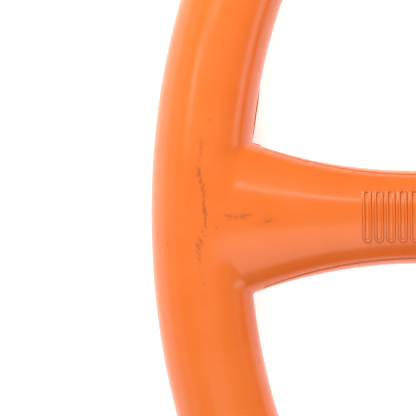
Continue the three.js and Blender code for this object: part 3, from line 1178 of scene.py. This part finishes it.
@effect("uneven patches", {"Scale": 40.0}, "Patches")
def cloud_effect(w: Wiring, given: Given) -> bpy.types.NodeSocket:
    """Broad uneven patches: two sizes of noise, averaged and pushed away from the middle."""
    large = w.noise(given("Vector"), given("Scale"))
    small = w.noise(given("Vector"), w.times(given("Scale"), 3.7))
    return w.step(w.add(w.times(large, 0.65), w.times(small, 0.35)), 0.35, 0.65)


@effect("gloss ripple", {"Scale": 120.0, "Fine": 0.1}, "Height")
def peel_effect(w: Wiring, given: Given) -> bpy.types.NodeSocket:
    """A moulded gloss surface's height about 0: a slow ripple plus a share of fine pimples."""
    ripple = w.math("SUBTRACT", w.noise(given("Vector"), given("Scale"), 1.0), 0.5)
    pimples = w.noise(given("Vector"), w.times(given("Scale"), 8.0), 2.0)
    return w.add(ripple, w.times(w.math("SUBTRACT", pimples, 0.5), given("Fine")))


@effect("specks", {"Scale": 300.0, "Size": 0.2, "Share": 0.05}, "Specks")
def speck_effect(w: Wiring, given: Given) -> bpy.types.NodeSocket:
    """Scattered small specks: a disc in each random cell whose own random value is low."""
    cells = w.node("ShaderNodeTexVoronoi", {"Vector": given("Vector"), "Scale": given("Scale")})
    near = w.math("LESS_THAN", cells.outputs["Distance"], given("Size"))
    channel = w.node("ShaderNodeSeparateColor", {0: cells.outputs["Color"]}).outputs[0]
    return w.times(near, w.math("LESS_THAN", channel, given("Share")))


@effect("hairline scuffs", {"Scale": 900.0}, "Scuffs")
def scuff_effect(w: Wiring, given: Given) -> bpy.types.NodeSocket:
    """Fine scuffs in two directions: peaks of two stretched noises, gathered in patches."""
    first = w.noise(w.stretched(given("Vector"), (1.0, 0.05, 1.0)), given("Scale"), 4.0)
    second = w.noise(w.stretched(given("Vector"), (0.07, 1.0, 1.0)), given("Scale"), 4.0)
    lines = w.math("MAXIMUM", w.step(first, 0.66, 0.74), w.step(second, 0.68, 0.76))
    return w.times(lines, w.step(w.noise(given("Vector"), 28.0), 0.5, 0.62))


@effect("rubbed band", {"Band": 0.0}, "Rub")
def rub_effect(w: Wiring, given: Given) -> bpy.types.NodeSocket:
    """Dark crumbs rubbed in: noise plus the band mask, cut off where their sum is low."""
    fine = w.noise(given("Vector"), 1700.0, 4.0)
    coarse = w.noise(given("Vector"), 260.0, 3.0)
    grain = w.add(w.times(fine, 0.6), w.times(coarse, 0.4))
    crumbs = w.step(w.add(grain, w.times(given("Band"), 0.36)), 0.62, 0.86)
    return w.times(crumbs, w.step(given("Band"), 0.01, 0.12))


@effect("tool lines", {"Scale": 600.0}, "Lines")
def line_effect(w: Wiring, given: Given) -> bpy.types.NodeSocket:
    """Fine tool lines along the axis on which the coordinates are least scaled, at two sizes."""
    broad = w.noise(given("Vector"), given("Scale"), 2.0)
    fine = w.noise(given("Vector"), w.times(given("Scale"), 3.0), 2.0)
    return w.add(w.times(broad, 0.6), w.times(fine, 0.4))


class Surface:
    """One material being made: its wiring, its Principled shader and its object coordinates."""

    def __init__(self, name: str) -> None:
        """Starts an empty material of this name."""
        self.material = bpy.data.materials.new(name)
        self.material.use_nodes = True
        self.material.node_tree.nodes.clear()
        self.wiring = Wiring(self.material.node_tree)
        self.shader = self.wiring.node("ShaderNodeBsdfPrincipled")
        self.wiring.node("ShaderNodeOutputMaterial", {"Surface": self.shader.outputs[0]})
        self.where = self.wiring.node("ShaderNodeTexCoord").outputs["Object"]

    def use(self, group: bpy.types.NodeTree, values: dict | None = None) -> bpy.types.NodeSocket:
        """Places an effect in the material.

        Args:
            group: the effect's node group.
            values: its inputs; the object coordinates go to Vector unless it is given here.

        Returns:
            The effect's output.
        """
        given = {"Vector": self.where, **(values or {})}
        return self.wiring.node("ShaderNodeGroup", given, node_tree=group).outputs[0]

    def dress(self, colour: object, roughness: object, height: object, depth: float,
              **plain: float) -> bpy.types.Material:
        """Wires the shader.

        Args:
            colour: what feeds the base colour.
            roughness: what feeds the roughness.
            height: what feeds the bump, whose whole range stands for the depth.
            depth: the bump's depth in metres.
            plain: constants for the shader's other inputs, their names with underscores.

        Returns:
            The finished material.
        """
        bump = self.wiring.node("ShaderNodeBump", {"Height": height, "Distance": depth})
        fed = {"Base Color": colour, "Roughness": roughness, "Normal": bump.outputs[0]}
        for key, socket in fed.items():
            self.wiring.tree.links.new(socket, self.shader.inputs[key])
        for key, value in plain.items():
            self.shader.inputs[key.replace("_", " ")].default_value = value
        return self.material


@dataclass(frozen=True)
class GlossPlastic:
    """Orange gloss plastic: uneven tint, rubbed crests, specks, hairline scuffs, painted shade with
    some dirt at the pattern's feet, and a soft peel.
    """

    name: str = "orange gloss plastic"
    colour: Colour = srgb(232, 112, 40)
    faded: Colour = srgb(234, 117, 47)
    # Dark brown for rub marks, specks and the seam, and also for the painted shade at the pattern's
    # feet.
    soil_and_shade: Colour = srgb(112, 52, 20)
    roughness: float = 0.19
    peel_depth: float = 0.05 * MM

    def make(self) -> bpy.types.Material:
        """The material."""
        s = Surface(self.name)
        w = s.wiring
        patches = s.use(cloud_effect(), {"Scale": 22.0})
        rub = s.use(rub_effect(), {"Band": w.mask("rub")})
        specks = s.use(speck_effect(), {"Scale": 260.0, "Size": 0.1, "Share": 0.03})
        scuffs = s.use(scuff_effect())
        seam = w.times(w.mask("seam_edge"), w.add(patches, 0.4))
        # Painted shade with some dirt at the feet of the grip's beads, in patches.
        foot_dirt_and_shade = w.times(w.mask("foot_dirt_and_shade"), w.add(w.times(patches, 0.3), 0.6))
        tint = w.mix(patches, self.colour, self.faded)
        tint = w.mix(w.times(rub, 0.5), tint, self.soil_and_shade)
        tint = w.mix(w.times(specks, 0.35), tint, self.soil_and_shade)
        tint = w.mix(w.times(seam, 0.1), tint, self.soil_and_shade)
        # Darkens the beads' feet towards the dark brown: painted shade with some dirt.
        tint = w.mix(foot_dirt_and_shade, tint, self.soil_and_shade)
        worn = w.math("MAXIMUM", w.times(rub, 0.4), w.times(scuffs, 0.35))
        rough = w.add(w.times(worn, 0.25), self.roughness)
        rough = w.add(rough, w.times(patches, 0.05))
        peel = s.use(peel_effect(), {"Scale": 150.0, "Fine": 0.06})
        height = w.math("SUBTRACT", peel, w.times(worn, 0.06))
        return s.dress(tint, rough, height, self.peel_depth, IOR=1.5, Specular_IOR_Level=0.48)


class Lay(Enum):
    """Which way a metal's tool lines run: scales of the coordinates along X, Y and Z."""

    ALONG_X = (0.04, 1.0, 1.0)
    ALONG_Y = (1.0, 0.04, 1.0)
    ROUND_X = (1.0, 0.04, 0.04)
    ROUND_Z = (0.04, 0.04, 1.0)


@dataclass(frozen=True)
class Metal:
    """A worked metal: tool lines, darker patches and fine specks of stain."""

    name: str
    colour: Colour
    stained: Colour
    lay: Lay
    roughness: float
    line_scale: float = 700.0
    line_depth: float = 0.02 * MM
    stain: float = 0.45

    def make(self) -> bpy.types.Material:
        """The material."""
        s = Surface(self.name)
        w = s.wiring
        stretched = w.stretched(s.where, self.lay.value)
        lines = s.use(line_effect(), {"Vector": stretched, "Scale": self.line_scale})
        patches = s.use(cloud_effect(), {"Scale": 55.0})
        specks = s.use(speck_effect(), {"Scale": 520.0, "Size": 0.25, "Share": 0.06})
        shade = w.times(patches, self.stain)
        tint = w.mix(shade, self.colour, self.stained)
        tint = w.mix(w.times(w.step(lines, 0.3, 0.7), 0.22), tint, self.stained)
        tint = w.mix(w.times(specks, 0.5), tint, self.stained)
        rough = w.add(w.times(lines, 0.18), self.roughness)
        rough = w.add(rough, w.times(patches, 0.12))
        return s.dress(tint, rough, lines, self.line_depth, Metallic=1.0)


@dataclass(frozen=True)
class Rubber:
    """Black moulded rubber: fine grain, pale dust in patches and scuffs on what it stands on."""

    name: str = "black rubber"
    colour: Colour = srgb(34, 33, 32)
    dusty: Colour = srgb(92, 88, 83)

    def make(self) -> bpy.types.Material:
        """The material."""
        s = Surface(self.name)
        w = s.wiring
        patches = s.use(cloud_effect(), {"Scale": 160.0})
        scuffs = s.use(scuff_effect(), {"Scale": 1400.0})
        grain = s.use(peel_effect(), {"Scale": 2200.0, "Fine": 0.5})
        dust = w.times(patches, w.add(w.times(scuffs, 0.5), 0.3))
        tint = w.mix(dust, self.colour, self.dusty)
        rough = w.add(w.times(patches, 0.14), 0.62)
        return s.dress(tint, rough, grain, 0.03 * MM, IOR=1.5)


# ---- Stage ----


@dataclass(frozen=True)
class SoftBox:
    """One rectangular studio light, its place, the point it faces, its size and its power."""

    name: str
    place: tuple[float, float, float]
    aim: tuple[float, float, float]
    size: tuple[float, float]
    watts: float
    tint: Colour = (1.0, 1.0, 1.0)

    def build(self) -> None:
        """Adds the light, turned to face its aim."""
        light = bpy.data.lights.new(self.name, "AREA")
        light.shape = "RECTANGLE"
        light.size, light.size_y = self.size
        light.energy = self.watts
        light.color = self.tint
        lamp = bpy.data.objects.new(self.name, light)
        bpy.context.scene.collection.objects.link(lamp)
        lamp.location = self.place
        lamp.rotation_mode = "QUATERNION"
        lamp.rotation_quaternion = (Vector(self.aim) - Vector(self.place)).to_track_quat("-Z", "Y")


@dataclass
class Stage:
    """The pale floor, the studio lights and the camera over the left junction."""

    middle: float
    target: tuple[float, float] = (-74.1 * MM, 3.75 * MM)
    elevation: float = 88.0
    roll: float = -0.45
    distance: float = 1.0
    span: float = 147.2 * MM
    sensor: float = 36.0
    floor_size: float = 5.0
    world: float = 0.17
    floor_glow: float = 0.7
    lights: tuple[SoftBox, ...] = (
        SoftBox("near box", (0.05, -0.68, 1.1), (-0.07, 0.0, 0.0), (1.2, 1.24), 7.2),
        SoftBox("key", (-0.2, 0.38, 0.46), (-0.07, 0.0, 0.0), (0.3, 0.3), 3.5),
        SoftBox("left wall", (-1.0, 0.0, 0.25), (-0.07, 0.0, 0.05), (1.6, 0.5), 1.3),
        SoftBox("right wall", (0.95, -0.42, 0.2), (-0.07, 0.0, 0.05), (1.0, 0.4), 2.6),
        SoftBox("far strip", (0.03, 0.44, 1.05), (-0.04, 0.0, 0.0), (0.1, 0.03), 0.34),
        SoftBox("left strip", (-0.72, 0.25, 0.84), (-0.07, 0.07, 0.0), (0.06, 0.2), 0.35),
    )

    def camera(self) -> None:
        """A long lens over the left junction, rolled a little as the weight lies."""
        lens = bpy.data.cameras.new("camera")
        lens.sensor_width = self.sensor
        lens.lens = self.sensor * self.distance / self.span
        lens.clip_start, lens.clip_end = 0.05, 20
        eye = bpy.data.objects.new("camera", lens)
        bpy.context.scene.collection.objects.link(eye)
        tilt = math.radians(self.elevation)
        back = Vector((0, -math.cos(tilt), math.sin(tilt)))
        eye.location = Vector((*self.target, self.middle)) + back * self.distance
        eye.rotation_mode = "QUATERNION"
        facing = (-back).to_track_quat("-Z", "Y")
        eye.rotation_quaternion = facing @ Quaternion((0, 0, 1), math.radians(self.roll))
        bpy.context.scene.camera = eye

    def floor(self) -> None:
        """A pale floor that glows a little, as a lit table does."""
        half = self.floor_size / 2
        side = np.linspace(-half, half, 9)
        x, y = np.meshgrid(side, side, indexing="ij")
        points = np.stack([x, y, np.zeros_like(x)], axis=-1).reshape(-1, 3)
        index = np.arange(points.shape[0]).reshape(x.shape)
        mesh = bpy.data.meshes.new("floor")
        mesh.from_pydata(points.tolist(), [], lattice_quads(index).tolist())
        plate = bpy.data.objects.new("floor", mesh)
        bpy.context.scene.collection.objects.link(plate)
        s = Surface("pale floor")
        w = s.wiring
        patches = s.use(cloud_effect(), {"Scale": 3.0})
        tint = w.mix(patches, (0.78, 0.78, 0.78), (0.81, 0.81, 0.81))
        rough = w.add(w.times(patches, 0.05), 0.8)
        glow = {"Emission_Strength": self.floor_glow, "Specular_IOR_Level": 0.1}
        grain = s.use(peel_effect(), {"Scale": 300.0})
        mesh.materials.append(s.dress(tint, rough, grain, 0.005 * MM, **glow))
        s.shader.inputs["Emission Color"].default_value = (1, 1, 1, 1)

    def build(self) -> None:
        """Floor, world, lights and view settings."""
        self.floor()
        scene = bpy.context.scene
        scene.view_settings.view_transform = "Standard"
        sky = bpy.data.worlds.new("studio")
        sky.use_nodes = True
        background = sky.node_tree.nodes["Background"]
        background.inputs["Color"].default_value = (self.world, self.world, self.world, 1)
        scene.world = sky
        for light in self.lights:
            light.build()


# ---- The whole weight ----


@dataclass
class RingWeight:
    """The shells, their covers and pattern, and the finishes of everything inside them."""

    sizes: WeightSizes
    holes: list[ScrewHole]
    plastic: bpy.types.Material
    rubber: bpy.types.Material

    def finished(self, piece: bpy.types.Object, material: bpy.types.Material, slot: str) -> None:
        """Gives a piece its material and its body, and reports it."""
        piece.data.materials.clear()
        piece.data.materials.append(material)
        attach(piece, "root")
        LOG.info("%s: %d faces", piece.name, len(piece.data.polygons))

    def shells(self) -> None:
        """Both half shells with their posts and screw holes."""
        for half, node in ((Half.FRONT, "front_shell"), (Half.BACK, "back_shell")):
            shell = HalfShell(self.sizes, half, f"{node}_moulded")
            piece = shell.build()
            if half is Half.FRONT:
                posts = [hole.front_boss(shell.blend) for hole in self.holes]
                bores = [hole.front_bore() for hole in self.holes]
            else:
                posts = [hole.back_boss(shell.blend) for hole in self.holes]
                bores = [hole.back_bore(2 * self.sizes.oval.tube) for hole in self.holes]
            combine(piece, posts, "UNION", shell.placed)
            combine(piece, bores, "DIFFERENCE", shell.placed)
            shade(piece.data)
            self.finished(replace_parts(piece, node), self.plastic, "orange_shell")

    def covers(self) -> None:
        """The feet and the caps over the screws."""
        blend = Blend(self.sizes)
        for hole in self.holes:
            if hole.cover is Cover.FOOT:
                piece = RestFoot(hole, self.sizes.middle).build()
                self.finished(piece, self.rubber, "black_rubber")
            else:
                piece = HoleCap(hole, blend, self.sizes.middle).build()
                self.finished(piece, self.plastic, "orange_shell")

    def pattern(self) -> None:
        """The raised pattern on the grip."""
        self.finished(GripPattern(self.sizes).build(), self.plastic, "orange_shell")

    def inside(self, nodes: dict[str, bpy.types.Object]) -> None:
        """Dresses the nodes that stay as they are: the core, its rings, the screws and inserts."""
        bars = Metal("hot rolled bar", srgb(118, 120, 124), srgb(62, 58, 56), Lay.ALONG_Y, 0.42)
        rod = Metal("turned rod", srgb(150, 152, 156), srgb(84, 80, 78), Lay.ROUND_X, 0.3)
        zinc = Metal("zinc plate", srgb(190, 193, 198), srgb(128, 128, 124), Lay.ROUND_Z, 0.26)
        brass = Metal("knurled brass", srgb(201, 160, 82), srgb(120, 84, 38), Lay.ROUND_Z, 0.3)
        metals = {"core_bar": bars.make(), "grip_rod": rod.make(), "cross_pin": zinc.make(),
                  "insert": brass.make(), "cushion": self.rubber}
        metals["screw"] = metals["cross_pin"]
        for name, node in nodes.items():
            kind = next((key for key in metals if key in name), None)
            if kind and not node.hide_render:
                for slot in node.material_slots:
                    slot.material = metals[kind]
                LOG.info("%s: %s", name, metals[kind].name)

    def build(self, nodes: dict[str, bpy.types.Object]) -> None:
        """Builds and dresses everything."""
        self.shells()
        self.covers()
        self.pattern()
        self.inside(nodes)


def main() -> None:
    """Builds the weight round its frame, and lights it."""
    logging.basicConfig(level=logging.INFO, format="%(name)s: %(message)s")
    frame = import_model()
    sizes = WeightSizes.from_frame()
    stage = Stage(sizes.middle)
    stage.camera()
    plastic, rubber = GlossPlastic().make(), Rubber().make()
    RingWeight(sizes, ScrewHole.all_of(sizes.middle), plastic, rubber).build(frame["nodes"])
    stage.build()


if __name__ == "__main__":
    main()
